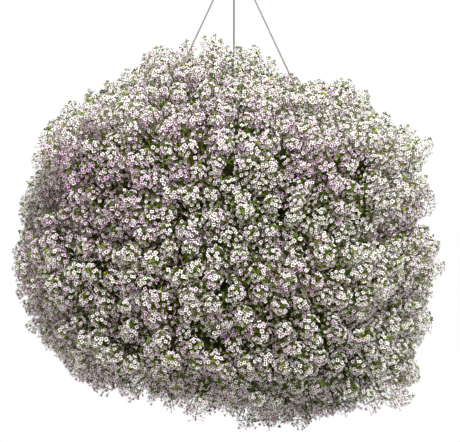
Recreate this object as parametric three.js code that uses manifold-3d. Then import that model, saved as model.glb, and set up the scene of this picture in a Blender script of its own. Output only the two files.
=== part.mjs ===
// Sweet alyssum in a round hanging pot: three plants grown together into one ball of flower heads, which hangs
// by three wires from a hook. Millimetres, +Z up. The origin is the top of the hook's inside, where it hangs on
// its rail, and -Y is the front.
//
// The flower heads are drawn nearly three times as large as life, and there are about a sixth as many as on a real
// ball. Each has a bud tip and eight florets in two staggered tiers, raised as peaks from the head's own surface.
import * as THREE from "three";
import { mergeVertices } from "three/addons/utils/BufferGeometryUtils.js";
import Module from "manifold-3d";

const wasm = await Module();
wasm.setup();

const UP = new THREE.Vector3(0, 0, 1);
const TURN = 2 * Math.PI;
const CLEARANCE = 0.35; // between two pieces that touch on the real thing

// ---------------------------------------------------------------- driving dimensions

// Hanger: a hook, a crimped ferrule and three straight wires that part from it at equal angles.
const HOOK_WIRE_RADIUS = 1.8;
const HOOK_INSIDE_RADIUS = 14;
const HOOK_SHANK_END_Z = -42;
const FERRULE_RADIUS = 7;
const FERRULE_TOP_Z = -36;
const FERRULE_BOTTOM_Z = -52;
const WIRE_RADIUS = 1;
const WIRE_TOP_RING = 3.4; // radius on which the wires enter the ferrule
const WIRE_TOP_Z = -43;
const WIRE_SLOPE = 0.53; // radial run for each millimetre of drop
const WIRE_AZIMUTHS = [90, 210, 330].map(THREE.MathUtils.degToRad);

// Pot: a tapered bowl with a flat lip, in which the wires hook.
const LIP_OUTER_RADIUS = 153;
const LIP_HOLE_RADIUS = 146; // from the pot's axis to the middle of each hole
const LIP_THICKNESS = 2.6;
const POT_RIM_RADIUS = 140;
const POT_BASE_RADIUS = 98;
const POT_DEPTH = 190;
const POT_WALL = 2.6;
const POT_SEGMENTS = 24;
const LIP_Z = FERRULE_BOTTOM_Z - (LIP_HOLE_RADIUS - WIRE_TOP_RING) / WIRE_SLOPE;
const POT_BASE_Z = LIP_Z - POT_DEPTH;
const SOIL_BELOW_LIP = 16;
const SOIL_Z = LIP_Z - SOIL_BELOW_LIP;

// Ball of flowers: its centre lies on the pot's axis, and its radius is given every 15 degrees from the top to
// the bottom, on its right side (+X) and on its left.
const BALL_CENTRE = new THREE.Vector3(0, 0, -441);
const RIGHT_RADII = [268, 248, 258, 274, 298, 284, 284, 289, 304, 314, 285, 274, 262];
const LEFT_RADII = [268, 284, 284, 291, 309, 302, 308, 309, 302, 287, 264, 256, 262];
const LUMP_HEIGHT = 7;
const LOWEST_HEAD = THREE.MathUtils.degToRad(163); // from straight up; the ball is bare below this
const LOWEST_ROOT = THREE.MathUtils.degToRad(150); // the lowest place where sprays and leaves are rooted
const MOUTH_RADIUS = 64; // of the opening under the pot

// Flower heads and the sprays that carry them.
const HEAD_COUNT = 208; // on a whole ball, before the bare underside is left out
const SPRAY_COUNT = 46;
const HEAD_PACKING = 0.58; // the largest radius of a head, as a share of the mean spacing of the heads
const SMALLEST_HEAD = 13; // radius below which a head is left out
const HEAD_DEPTH_RANGE = 20; // how much deeper the deepest heads stand than the outermost
const HEAD_RISE = 0.95; // how far the heads turn up towards the light
const FLORET_PAIRS = 4; // peaks in each of the two tiers
const STEM_RADIUS = 1.7;
const SPRAY_FOOT_RADIUS = 5.2;
const SPRAY_FOOT_SUNK = 18;
const SPRAY_FOOT_HEIGHT = 19;
const FORK_BELOW_FOOT_TOP = 7; // where a spray's stems part, inside its foot

// Leafy inside of each plant.
const FOLIAGE_BELOW_HEADS = 76; // from the ball's surface in to the mass of leaves and stems
const FOLIAGE_ROUGHNESS = 14;
const FOLIAGE_DETAIL = 3;
const PLANT_GAP = 9; // between two plants, where a wire comes down
const LEAF_COUNT = 300;
const LEAF_LENGTH = 60;
const LEAF_WIDTH = 17;
const LEAF_THICKNESS = 2.2;
const LEAF_SUNK = 15;
const LEAF_LEAN = 2;
const CROWN_RADIUS = 6.5;
const CROWN_RING = 72; // from the pot's axis to each plant's crown
const CROWN_DEPTH = 34; // how far each crown stands in the soil
const POT_CLEARANCE = 7;
const LIP_COVER_RADIUS = LIP_OUTER_RADIUS + 27; // outside of the foliage that spills over the lip
const LIP_COVER_Z = LIP_Z + 24;

// ---------------------------------------------------------------- small tools

// Repeatable random numbers from 0 to 1.
function randomSource(seed) {
  let state = seed;
  return () => {
    state = (state + 0x6d2b79f5) | 0;
    let mixed = Math.imul(state ^ (state >>> 15), 1 | state);
    mixed = (mixed + Math.imul(mixed ^ (mixed >>> 7), 61 | mixed)) ^ mixed;
    return ((mixed ^ (mixed >>> 14)) >>> 0) / 4294967296;
  };
}

const polar = (radius, azimuth, z) =>
  new THREE.Vector3(radius * Math.cos(azimuth), radius * Math.sin(azimuth), z);

// A ring of points round an axis. Each point's radius is radius times its entry in shares, which repeats.
function ring(centre, axis, side, radius, count, shares = [1], phase = 0) {
  const u = side.clone().addScaledVector(axis, -side.dot(axis)).normalize();
  const v = new THREE.Vector3().crossVectors(axis, u);
  return Array.from({ length: count }, (_, i) => {
    const angle = phase + (TURN * i) / count;
    const reach = radius * shares[i % shares.length];
    return centre
      .clone()
      .addScaledVector(u, reach * Math.cos(angle))
      .addScaledVector(v, reach * Math.sin(angle));
  });
}

// A closed skin over a row of rings, which may differ in their number of points. A ring of one point is a tip.
function loft(rings) {
  const points = rings.flat();
  const faces = [];
  let first = 0;
  rings.slice(1).forEach((next, k) => {
    const n = rings[k].length;
    const m = next.length;
    const second = first + n;
    for (let i = 0, j = 0; i < n || j < m; ) {
      const stepFirst = j >= m || (i < n && (i + 1) / n <= (j + 1) / m);
      if (stepFirst) {
        if (n > 1) faces.push(first + (i % n), first + ((i + 1) % n), second + (j % m));
        i++;
      } else {
        if (m > 1) faces.push(first + (i % n), second + ((j + 1) % m), second + (j % m));
        j++;
      }
    }
    first = second;
  });
  for (let i = 1; i < rings[0].length - 1; i++) faces.push(0, i + 1, i);
  for (let i = 1; i < rings.at(-1).length - 1; i++) faces.push(first, first + i, first + i + 1);
  const geometry = new THREE.BufferGeometry().setFromPoints(points);
  geometry.setIndex(faces);
  return geometry;
}

// A rod along a line of points, all at right angles to side.
function rod(line, radius, sides, side, phase = 0) {
  const rings = line.map((point, i) => {
    const before = line[Math.max(i - 1, 0)];
    const after = line[Math.min(i + 1, line.length - 1)];
    const axis = after.clone().sub(before).normalize();
    return ring(point, axis, side, radius, sides, [1], phase);
  });
  return loft(rings);
}

function solid(geometry) {
  const bare = geometry.clone();
  bare.deleteAttribute("normal");
  bare.deleteAttribute("uv");
  const merged = mergeVertices(bare, 1e-4);
  const mesh = new wasm.Mesh({
    numProp: 3,
    vertProperties: merged.attributes.position.array,
    triVerts: new Uint32Array(merged.index.array),
  });
  return new wasm.Manifold(mesh);
}

function geometryOf(made) {
  const mesh = made.getMesh();
  const geometry = new THREE.BufferGeometry();
  geometry.setAttribute("position", new THREE.BufferAttribute(mesh.vertProperties, 3));
  geometry.setIndex(new THREE.BufferAttribute(mesh.triVerts, 1));
  const faceted = geometry.toNonIndexed();
  faceted.computeVertexNormals();
  return faceted;
}

// Joins solids into one and fills any pocket that they enclose.
function join(solids) {
  const whole = solids.reduce((made, piece) => made.add(piece)).simplify(0.02);
  return whole
    .decompose()
    .filter((body) => body.volume() > 0)
    .reduce((made, body) => made.add(body));
}

// ---------------------------------------------------------------- form of the ball

function sideRadius(radii, angle) {
  const place = (angle / Math.PI) * (radii.length - 1);
  const k = Math.min(Math.floor(place), radii.length - 2);
  return THREE.MathUtils.lerp(radii[k], radii[k + 1], THREE.MathUtils.smoothstep(place - k, 0, 1));
}

// The ball's radius in a direction from its centre: the two sides' outlines, blended round it, with low lumps.
function ballRadius(direction) {
  const angle = Math.acos(THREE.MathUtils.clamp(direction.z, -1, 1));
  const flat = Math.hypot(direction.x, direction.y);
  const rightness = flat > 0 ? (1 + direction.x / flat) / 2 : 0.5;
  const azimuth = Math.atan2(direction.y, direction.x);
  const [left, right] = [LEFT_RADII, RIGHT_RADII].map((radii) => sideRadius(radii, angle));
  const lump = Math.sin(4 * azimuth + 1.2) * Math.sin(5 * angle) * Math.sin(angle);
  return THREE.MathUtils.lerp(left, right, rightness) + LUMP_HEIGHT * lump;
}

const fromCentre = (direction, distance) => BALL_CENTRE.clone().addScaledVector(direction, distance);

// The radius of the foliage: well inside the heads, but always outside the pot's lip.
function foliageRadius(direction) {
  const inside = ballRadius(direction) - FOLIAGE_BELOW_HEADS;
  if (direction.z <= 0) return inside;
  const toSide = LIP_COVER_RADIUS / Math.hypot(direction.x, direction.y);
  const toTop = (LIP_COVER_Z - BALL_CENTRE.z) / direction.z;
  return Math.max(inside, Math.min(toSide, toTop));
}

// Directions spread evenly and irregularly over a ball: a spiral start, shaken, then pushed apart.
function spreadDirections(count, seed, lowest) {
  const random = randomSource(seed);
  const spacing = Math.sqrt((TURN * 2) / count / 0.866);
  const made = Array.from({ length: count }, (_, i) => {
    const z = 1 - (2 * i + 1) / count;
    const point = polar(Math.sqrt(1 - z * z), i * Math.PI * (3 - Math.sqrt(5)), z);
    const shake = new THREE.Vector3(random() - 0.5, random() - 0.5, random() - 0.5);
    return point.addScaledVector(shake, spacing).normalize();
  });
  for (let round = 0; round < 40; round++) {
    const pushes = made.map((point) => {
      const push = new THREE.Vector3();
      made.forEach((other) => {
        const apart = point.distanceTo(other);
        if (apart > 0 && apart < spacing) {
          push.addScaledVector(point.clone().sub(other), (0.35 * (spacing - apart)) / apart);
        }
      });
      return push;
    });
    made.forEach((point, i) => point.add(pushes[i]).normalize());
  }
  return made.filter((direction) => Math.acos(direction.z) < lowest);
}

const plantAzimuth = (plant) => WIRE_AZIMUTHS[0] + ((plant + 0.5) * TURN) / 3;

// Which of the three plants a place belongs to: each fills the third of the ball between two wires.
function plantAt(point) {
  const turned = Math.atan2(point.y, point.x) - WIRE_AZIMUTHS[0] + 2 * TURN;
  return Math.floor((turned % TURN) / (TURN / 3));
}

// ---------------------------------------------------------------- hanger

function makeHook() {
  const side = new THREE.Vector3(0, 1, 0);
  const reach = HOOK_INSIDE_RADIUS + HOOK_WIRE_RADIUS;
  const centreZ = -HOOK_INSIDE_RADIUS;
  const bend = Array.from({ length: 15 }, (_, i) => {
    const angle = THREE.MathUtils.degToRad(-38 + i * 18);
    return new THREE.Vector3(reach * Math.cos(angle), 0, centreZ + reach * Math.sin(angle));
  });
  const shank = [
    new THREE.Vector3(-3, 0, centreZ - reach * 0.98),
    new THREE.Vector3(0, 0, centreZ - reach - 3.5),
    new THREE.Vector3(0, 0, HOOK_SHANK_END_Z),
  ];
  return rod([...bend, ...shank], HOOK_WIRE_RADIUS, 6, side, TURN / 12);
}

// The wire's line: upright in the ferrule, straight to the lip, then down through the hole and back up outside.
function wireLine(azimuth) {
  const bendRadius = (LIP_OUTER_RADIUS + WIRE_RADIUS + CLEARANCE - LIP_HOLE_RADIUS) / 2;
  const bendZ = LIP_Z - LIP_THICKNESS - WIRE_RADIUS - CLEARANCE;
  const bendCentre = LIP_HOLE_RADIUS + bendRadius;
  const curl = Array.from({ length: 7 }, (_, i) => {
    const angle = Math.PI + (Math.PI * i) / 6;
    return polar(bendCentre + bendRadius * Math.cos(angle), azimuth, bendZ + bendRadius * Math.sin(angle) * 0.7);
  });
  return [
    polar(WIRE_TOP_RING, azimuth, WIRE_TOP_Z),
    polar(WIRE_TOP_RING, azimuth, FERRULE_BOTTOM_Z - 1),
    polar(LIP_HOLE_RADIUS - 1, azimuth, LIP_Z + 3.5),
    ...curl,
    polar(LIP_OUTER_RADIUS + WIRE_RADIUS + CLEARANCE, azimuth, LIP_Z + 4),
  ];
}

function makeWire(azimuth) {
  const side = new THREE.Vector3(-Math.sin(azimuth), Math.cos(azimuth), 0);
  return rod(wireLine(azimuth), WIRE_RADIUS, 6, side);
}

function makeFerrule() {
  const height = FERRULE_TOP_Z - FERRULE_BOTTOM_Z;
  const body = new THREE.CylinderGeometry(FERRULE_RADIUS * 0.8, FERRULE_RADIUS, height, 12)
    .rotateX(Math.PI / 2)
    .translate(0, 0, FERRULE_BOTTOM_Z + height / 2);
  const bore = (x, y, low, high, radius) =>
    solid(
      new THREE.CylinderGeometry(radius, radius, high - low, 8)
        .rotateX(Math.PI / 2)
        .translate(x, y, (high + low) / 2),
    );
  let made = solid(body).subtract(
    bore(0, 0, HOOK_SHANK_END_Z - CLEARANCE, FERRULE_TOP_Z + 1, HOOK_WIRE_RADIUS + CLEARANCE),
  );
  for (const azimuth of WIRE_AZIMUTHS) {
    const at = polar(WIRE_TOP_RING, azimuth, 0);
    made = made.subtract(
      bore(at.x, at.y, FERRULE_BOTTOM_Z - 1, WIRE_TOP_Z + CLEARANCE, WIRE_RADIUS + CLEARANCE + 0.1),
    );
  }
  return geometryOf(made);
}

// ---------------------------------------------------------------- pot and soil

const lathe = (profile, segments) =>
  new THREE.LatheGeometry(
    profile.map(([r, z]) => new THREE.Vector2(r, z)),
    segments,
  ).rotateX(Math.PI / 2);

function makePot() {
  const foot = 4;
  const profile = [
    [0, POT_BASE_Z + foot],
    [POT_BASE_RADIUS - 14, POT_BASE_Z + foot],
    [POT_BASE_RADIUS - 11, POT_BASE_Z],
    [POT_BASE_RADIUS, POT_BASE_Z],
    [POT_RIM_RADIUS, LIP_Z - LIP_THICKNESS],
    [LIP_OUTER_RADIUS, LIP_Z - LIP_THICKNESS],
    [LIP_OUTER_RADIUS, LIP_Z],
    [POT_RIM_RADIUS - POT_WALL, LIP_Z],
    [POT_BASE_RADIUS - POT_WALL, POT_BASE_Z + foot + POT_WALL],
    [0, POT_BASE_Z + foot + POT_WALL],
  ];
  let made = solid(lathe(profile, POT_SEGMENTS));
  const hole = (at, radius, depth) =>
    solid(
      new THREE.CylinderGeometry(radius, radius, depth, 8)
        .rotateX(Math.PI / 2)
        .translate(at.x, at.y, at.z),
    );
  for (const azimuth of WIRE_AZIMUTHS) {
    made = made.subtract(hole(polar(LIP_HOLE_RADIUS, azimuth, LIP_Z), 2.6, 12));
  }
  const drains = [45, 135, 225, 315].map(THREE.MathUtils.degToRad);
  for (const azimuth of drains) {
    made = made.subtract(hole(polar(POT_BASE_RADIUS * 0.55, azimuth, POT_BASE_Z + foot), 5, 20));
  }
  return geometryOf(made);
}

// The short woody crown of one plant, from its leaves down into the soil.
function crown(plant, extra) {
  const foot = polar(CROWN_RING, plantAzimuth(plant), SOIL_Z - CROWN_DEPTH - extra);
  const top = polar(CROWN_RING, plantAzimuth(plant), SOIL_Z + 24);
  return solid(rod([foot, top], CROWN_RADIUS + extra, 6, new THREE.Vector3(1, 0, 0)));
}

function makeSoil() {
  const bottom = POT_BASE_Z + 4 + POT_WALL + CLEARANCE;
  const wallAt = (z) => {
    const share = (z - (POT_BASE_Z + 4 + POT_WALL)) / (LIP_Z - (POT_BASE_Z + 4 + POT_WALL));
    return THREE.MathUtils.lerp(POT_BASE_RADIUS, POT_RIM_RADIUS, share) - POT_WALL - CLEARANCE - 0.4;
  };
  const edgeZ = SOIL_Z - 3;
  let made = solid(
    lathe(
      [[0, bottom], [wallAt(bottom), bottom], [wallAt(edgeZ), edgeZ], [90, SOIL_Z], [0, SOIL_Z]],
      POT_SEGMENTS,
    ),
  );
  for (const plant of [0, 1, 2]) made = made.subtract(crown(plant, CLEARANCE));
  return geometryOf(made);
}

// ---------------------------------------------------------------- flower heads and sprays

// One head on its stem: a foot in the spray, a neck, then two tiers of floret peaks with valleys between and
// the pointed cluster of buds on top.
function headOnStem(head, fork) {
  const { centre, axis, turn, radius } = head;
  const along = (share) => centre.clone().addScaledVector(axis, share * radius);
  const neck = along(-0.85);
  const stemAxis = neck.clone().sub(fork).normalize();
  const neckAxis = stemAxis.clone().add(axis).normalize();
  const side = new THREE.Vector3().crossVectors(stemAxis, axis).normalize();
  const tier = 2 * FLORET_PAIRS;
  const rings = [
    ring(fork, stemAxis, side, STEM_RADIUS, 3),
    ring(neck, neckAxis, side, STEM_RADIUS, 3),
    ring(along(-0.3), axis, side, radius, tier, [1, 0.8], turn),
    ring(along(0.36), axis, side, radius, tier, [0.6, 0.88], turn),
    [along(0.86)],
  ];
  return solid(loft(rings));
}

// The foot that a spray's stems part from. It stands in a hole in its plant.
function sprayFoot(spray, extra) {
  const low = spray.root.clone().addScaledVector(spray.direction, -SPRAY_FOOT_SUNK - extra);
  const high = spray.root.clone().addScaledVector(spray.direction, SPRAY_FOOT_HEIGHT);
  const side = new THREE.Vector3(spray.direction.y, -spray.direction.x, 0.1).normalize();
  return solid(rod([low, high], SPRAY_FOOT_RADIUS + extra, 5, side));
}

// The distance from a place to the nearest of the three wires.
function wireDistance(place) {
  const nearest = WIRE_AZIMUTHS.map((azimuth) => {
    const [, top, lip] = wireLine(azimuth);
    return new THREE.Line3(top, lip).closestPointToPoint(place, true, new THREE.Vector3());
  });
  return Math.min(...nearest.map((point) => point.distanceTo(place)));
}

// Moves a head away from the wire beside it, towards the middle of its plant.
function clearOfWires(centre, radius) {
  const missing = radius + WIRE_RADIUS + 2 - wireDistance(centre);
  if (missing <= 0) return centre;
  return centre.clone().add(polar(missing * 1.15, plantAzimuth(plantAt(centre)), 0));
}

// How far a place is from the gap between its plant and the next.
function gapDistance(place) {
  const turned = Math.atan2(place.y, place.x) - plantAzimuth(plantAt(place));
  const fromMiddle = Math.acos(Math.cos(turned));
  return Math.hypot(place.x, place.y) * Math.sin(TURN / 6 - fromMiddle);
}

// A head on its stem, with the room that it needs round it.
const roomyHead = (head) => headOnStem({ ...head, radius: head.radius + CLEARANCE }, head.spray.fork);

// Takes a little off both heads of every pair that would meet, until none do.
function shrinkUntilClear(heads) {
  const reach = (head) => head.centre.distanceTo(head.spray.fork) + head.radius;
  const shapes = heads.map(roomyHead);
  for (let changed = true; changed; ) {
    changed = false;
    heads.forEach((head, i) => {
      heads.slice(0, i).forEach((other, j) => {
        const apart = head.centre.distanceTo(other.centre);
        const meet =
          head.spray === other.spray
            ? apart < 0.94 * (head.radius + other.radius)
            : apart < reach(head) + reach(other) && !shapes[i].intersect(shapes[j]).isEmpty();
        if (!meet) return;
        changed = true;
        head.radius *= 0.97;
        other.radius *= 0.97;
        shapes[i] = roomyHead(head);
        shapes[j] = roomyHead(other);
      });
    });
  }
}

// Lifts a head until its stem runs clear of the foliage.
function liftOffFoliage(head, direction, mass) {
  while (!mass.intersect(roomyHead(head)).isEmpty()) head.centre.addScaledVector(direction, 3);
  return head;
}

function placeSprays(mass) {
  const sprays = spreadDirections(SPRAY_COUNT, 11, LOWEST_ROOT).map((direction) => {
    const root = fromCentre(direction, foliageRadius(direction));
    const fork = root.clone().addScaledVector(direction, SPRAY_FOOT_HEIGHT - FORK_BELOW_FOOT_TOP);
    return { direction, root, fork, plant: plantAt(root), heads: [] };
  });
  const random = randomSource(5);
  const spacing = Math.sqrt((TURN * 2) / HEAD_COUNT / 0.866);
  const heads = spreadDirections(HEAD_COUNT, 3, LOWEST_HEAD).map((direction) => {
    const outside = ballRadius(direction);
    const radius = HEAD_PACKING * spacing * (outside - 30);
    const outermost = outside - 0.9 * radius;
    const innermost = Math.max(outermost - HEAD_DEPTH_RANGE, foliageRadius(direction) + 1.05 * radius);
    const distance = THREE.MathUtils.lerp(outermost, innermost, random());
    const centre = clearOfWires(fromCentre(direction, distance), radius);
    const axis = direction.clone().addScaledVector(UP, HEAD_RISE).normalize();
    const turn = (random() - 0.5) * (TURN / 2 / FLORET_PAIRS);
    const spray = sprays
      .filter((one) => one.plant === plantAt(centre))
      .reduce((a, b) => (a.direction.dot(direction) > b.direction.dot(direction) ? a : b));
    return liftOffFoliage({ centre, axis, turn, radius, spray }, direction, mass);
  });
  shrinkUntilClear(heads);
  heads.filter((head) => head.radius > SMALLEST_HEAD).forEach((head) => head.spray.heads.push(head));
  return sprays.filter((spray) => spray.heads.length > 0);
}

const makeSpray = (spray) =>
  geometryOf(join([sprayFoot(spray, 0), ...spray.heads.map((head) => headOnStem(head, spray.fork))]));

// ---------------------------------------------------------------- leaves and stems inside

// A lance-shaped leaf with a ridge along its middle, sunk in the foliage at its root.
function leaf(root, along, face) {
  const across = new THREE.Vector3().crossVectors(face, along).normalize();
  const normal = new THREE.Vector3().crossVectors(along, across);
  const widest = root.clone().addScaledVector(along, LEAF_LENGTH * 0.55);
  const points = [
    root,
    widest.clone().addScaledVector(across, LEAF_WIDTH / 2),
    widest.clone().addScaledVector(normal, LEAF_THICKNESS * 0.75),
    widest.clone().addScaledVector(across, -LEAF_WIDTH / 2),
    widest.clone().addScaledVector(normal, -LEAF_THICKNESS * 0.25),
    root.clone().addScaledVector(along, LEAF_LENGTH),
  ];
  const geometry = new THREE.BufferGeometry().setFromPoints(points);
  geometry.setIndex([0, 2, 1, 0, 3, 2, 0, 4, 3, 0, 1, 4, 5, 1, 2, 5, 2, 3, 5, 3, 4, 5, 4, 1]);
  return geometry;
}

// Leaves all round each plant, but for those that would meet a spray, a wire or the pot's opening.
function placeLeaves(sprays) {
  const random = randomSource(17);
  const inTheWay = sprays.flatMap((spray) => [
    sprayFoot(spray, CLEARANCE),
    ...spray.heads.map((head) => roomyHead(head)),
  ]);
  const leaves = [];
  for (const direction of spreadDirections(LEAF_COUNT, 29, LOWEST_ROOT)) {
    const root = fromCentre(direction, foliageRadius(direction) - LEAF_SUNK);
    const lean = new THREE.Vector3(random() - 0.5, random() - 0.5, random() - 0.1);
    const along = direction.clone().addScaledVector(lean, LEAF_LEAN).normalize();
    const shape = solid(leaf(root, along, direction));
    const tip = root.clone().addScaledVector(along, LEAF_LENGTH);
    const isInside = [root, tip].every(
      (place) =>
        plantAt(place) === plantAt(root) &&
        gapDistance(place) > (PLANT_GAP + LEAF_WIDTH) / 2 &&
        wireDistance(place) > LEAF_WIDTH,
    );
    if (isInside && inTheWay.every((other) => shape.intersect(other).isEmpty())) {
      leaves.push({ plant: plantAt(root), shape });
    }
  }
  return leaves;
}

// The mass of leaves and stems under the heads, hollow round the pot and open below it.
function foliageMass() {
  const random = randomSource(41);
  const geometry = mergeVertices(bareIcosahedron(FOLIAGE_DETAIL), 1e-4);
  const place = geometry.attributes.position;
  for (let i = 0; i < place.count; i++) {
    const direction = new THREE.Vector3().fromBufferAttribute(place, i).normalize();
    const at = fromCentre(direction, foliageRadius(direction) + FOLIAGE_ROUGHNESS * (random() - 0.5));
    place.setXYZ(i, at.x, at.y, at.z);
  }
  const wallTop = LIP_Z - LIP_THICKNESS - 12;
  const hollow = lathe(
    [
      [0, SOIL_Z + 9],
      [POT_RIM_RADIUS - 12, SOIL_Z + 9],
      [POT_RIM_RADIUS - 9, LIP_Z + POT_CLEARANCE],
      [LIP_OUTER_RADIUS + 9, LIP_Z + POT_CLEARANCE],
      [LIP_OUTER_RADIUS + 9, wallTop],
      [POT_RIM_RADIUS + POT_CLEARANCE, wallTop - 6],
      [POT_BASE_RADIUS + POT_CLEARANCE + 2, POT_BASE_Z - POT_CLEARANCE],
      [MOUTH_RADIUS, POT_BASE_Z - 30],
      [MOUTH_RADIUS, POT_BASE_Z - 300],
      [0, POT_BASE_Z - 300],
    ].reverse(),
    18,
  );
  return solid(geometry).subtract(solid(hollow));
}

function bareIcosahedron(detail) {
  const made = new THREE.IcosahedronGeometry(1, detail);
  made.deleteAttribute("normal");
  made.deleteAttribute("uv");
  return made;
}

// The third of space that one plant fills, kept off its neighbours by half the gap on each side.
function plantWedge(plant) {
  const azimuth = plantAzimuth(plant);
  const inset = PLANT_GAP / 2 / Math.sin(TURN / 6);
  const reach = 900;
  const flat = (radius, angle) => new THREE.Vector2(radius * Math.cos(angle), radius * Math.sin(angle));
  const corner = flat(inset, azimuth);
  const far = [-TURN / 6, 0, TURN / 6].map((turn) => flat(reach, azimuth + turn).add(corner));
  const outline = new THREE.Shape([corner, ...far]);
  const geometry = new THREE.ExtrudeGeometry(outline, { depth: 1000, bevelEnabled: false });
  return solid(geometry.translate(0, 0, -1000));
}

function makeFoliage(plant, mass, sprays, leaves) {
  let made = mass.intersect(plantWedge(plant));
  made = made.add(crown(plant, 0));
  for (const spray of sprays.filter((spray) => spray.plant === plant)) {
    made = made.subtract(sprayFoot(spray, CLEARANCE));
  }
  const own = leaves.filter((leaf) => leaf.plant === plant).map((leaf) => leaf.shape);
  return geometryOf(join([made, ...own]));
}

// ---------------------------------------------------------------- assembly

const WIRE_LOOK = { color: 0x8d8279, roughness: 0.45, metalness: 0.8 };
const POT_LOOK = { color: 0x3b3f38, roughness: 0.55, metalness: 0 };
const SOIL_LOOK = { color: 0x35271b, roughness: 1, metalness: 0 };
const LEAF_LOOK = { color: 0x55732f, roughness: 0.7, metalness: 0 };
const FLOWER_LOOK = { color: 0xe9dff0, roughness: 0.8, metalness: 0 };

const basket = new THREE.Group();
const put = (name, geometry, look) => {
  const mesh = new THREE.Mesh(geometry, new THREE.MeshStandardMaterial(look));
  mesh.name = name;
  basket.add(mesh);
};

put("hanger_hook", makeHook(), WIRE_LOOK);
put("hanger_ferrule", makeFerrule(), WIRE_LOOK);
WIRE_AZIMUTHS.forEach((azimuth, i) => put(`hanger_wire_${i + 1}`, makeWire(azimuth), WIRE_LOOK));
put("pot", makePot(), POT_LOOK);
put("soil", makeSoil(), SOIL_LOOK);

const mass = foliageMass();
const sprays = placeSprays(mass);
const leaves = placeLeaves(sprays);
[0, 1, 2].forEach((plant) =>
  put(`foliage_${plant + 1}`, makeFoliage(plant, mass, sprays, leaves), LEAF_LOOK),
);
sprays.forEach((spray, i) =>
  put(`spray_${String(i + 1).padStart(2, "0")}`, makeSpray(spray), FLOWER_LOOK),
);

export default basket;
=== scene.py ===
"""Sweet alyssum in a hanging pot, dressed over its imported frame.

Over two thousand flower heads at life size stand in for the frame's larger ones, each a spike of
four-petalled florets under a cluster of buds on its stem. The pot, soil and hanger get finer shapes.
All is in metres, in the frame's own place: the origin is where the hook hangs, +Z is up and -Y the front.
"""

import math
from collections import namedtuple

import bpy
import numpy as np
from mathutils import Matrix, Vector
from mathutils.kdtree import KDTree


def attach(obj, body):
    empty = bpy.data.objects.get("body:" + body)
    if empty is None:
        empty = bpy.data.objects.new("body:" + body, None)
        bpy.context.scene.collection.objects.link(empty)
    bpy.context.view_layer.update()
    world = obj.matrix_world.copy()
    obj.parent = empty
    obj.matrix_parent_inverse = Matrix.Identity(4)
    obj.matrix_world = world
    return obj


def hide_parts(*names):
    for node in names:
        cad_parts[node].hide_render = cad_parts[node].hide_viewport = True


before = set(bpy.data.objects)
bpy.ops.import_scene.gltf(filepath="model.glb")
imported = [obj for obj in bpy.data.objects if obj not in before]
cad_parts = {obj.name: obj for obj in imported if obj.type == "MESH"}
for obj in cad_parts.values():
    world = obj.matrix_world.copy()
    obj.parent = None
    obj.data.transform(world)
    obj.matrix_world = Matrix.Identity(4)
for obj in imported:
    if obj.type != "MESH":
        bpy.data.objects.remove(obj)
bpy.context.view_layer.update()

MM = 0.001

# The hanger, pot and ball, as the solids have them.
WIRE_AZIMUTHS = np.radians([90, 210, 330])
WIRE_SLOPE = 0.53
FERRULE_TOP_Z, FERRULE_BOTTOM_Z = -0.036, -0.052
WIRE_TOP_RING = 0.0034
LIP_OUTER_RADIUS, LIP_HOLE_RADIUS, LIP_THICKNESS = 0.153, 0.146, 0.0026
POT_RIM_RADIUS, POT_BASE_RADIUS, POT_DEPTH, POT_WALL, POT_FOOT = 0.140, 0.098, 0.190, 0.0026, 0.004
WIRE_RADIUS, HOOK_WIRE_RADIUS, CLEARANCE = 0.001, 0.0018, 0.00035
LIP_Z = FERRULE_BOTTOM_Z - (LIP_HOLE_RADIUS - WIRE_TOP_RING) / WIRE_SLOPE
POT_BASE_Z = LIP_Z - POT_DEPTH
SOIL_Z = LIP_Z - 0.016
BALL_CENTRE = np.array([0, 0, -0.441])
# The ball's radius every 7.5 degrees from its top to its bottom, on its right side and on its left.
RIGHT_RADII = np.array([208, 268, 245, 233, 246, 283, 273, 274, 306, 275, 285, 258, 305,
                        301, 297, 303, 306, 335, 291, 293, 274, 279, 276, 289, 279]) * MM
LEFT_RADII = np.array([208, 293, 273, 286, 277, 277, 285, 312, 313, 300, 299, 306, 316,
                       320, 304, 321, 304, 302, 260, 241, 246, 201, 216, 263, 279]) * MM
LUMP_HEIGHT = 0.007

# Flower heads of three sorts: full ones at the ball's surface, shorter ones with more pods on its underside,
# and small ones in the gaps. Each has so many florets packed on a dome of that radius (mm), so many looser
# ones down a spike of that length (mm), and so many buds, pods and leaves.
Sort = namedtuple("Sort", "dome loose radius long buds pods leaves")
FULL = Sort(dome=21, loose=23, radius=11, long=26, buds=7, pods=2, leaves=2)
LOW = Sort(dome=21, loose=13, radius=11, long=13, buds=7, pods=4, leaves=2)
SMALL = Sort(dome=5, loose=17, radius=10, long=24, buds=3, pods=0, leaves=0)
FULL_COUNT = 1200  # before the lowest and those in a wire's way are left out
SMALL_COUNT = 1150  # kept out of twice as many
LOW_DIRECTION = -0.58  # a head is low if its direction from the ball's centre has a Z below this
LOWEST_HEAD = math.radians(171)  # from straight up

# How the heads stand: how far each turns up, how much their axes vary, and how deep their tips are.
HEAD_RISE = 1.0
AXIS_NOISE, LOW_AXIS_NOISE_SHARE = 0.36, 0.3
LEAST_OUTWARD, LEAST_UPWARD = 0.75, 0.05
HEAD_DEPTH, HEAD_DEPTH_RANGE, LEAST_DEPTH = 0.009, 0.007, -0.004
SMALL_HEAD_DEPTH = 0.011  # more than that of the others
SIDEWAYS_HEAD_DEPTH = 0.013  # more, for a head that lies along the surface
STANDING_SHARE, STANDING_HEIGHT = 0.14, 0.009  # heads that stand out above the rest
WIRE_ROOM = 0.015
RELIEF_REACH = 0.08  # from the middle plane to where the front's hollows have their full depth

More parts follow.
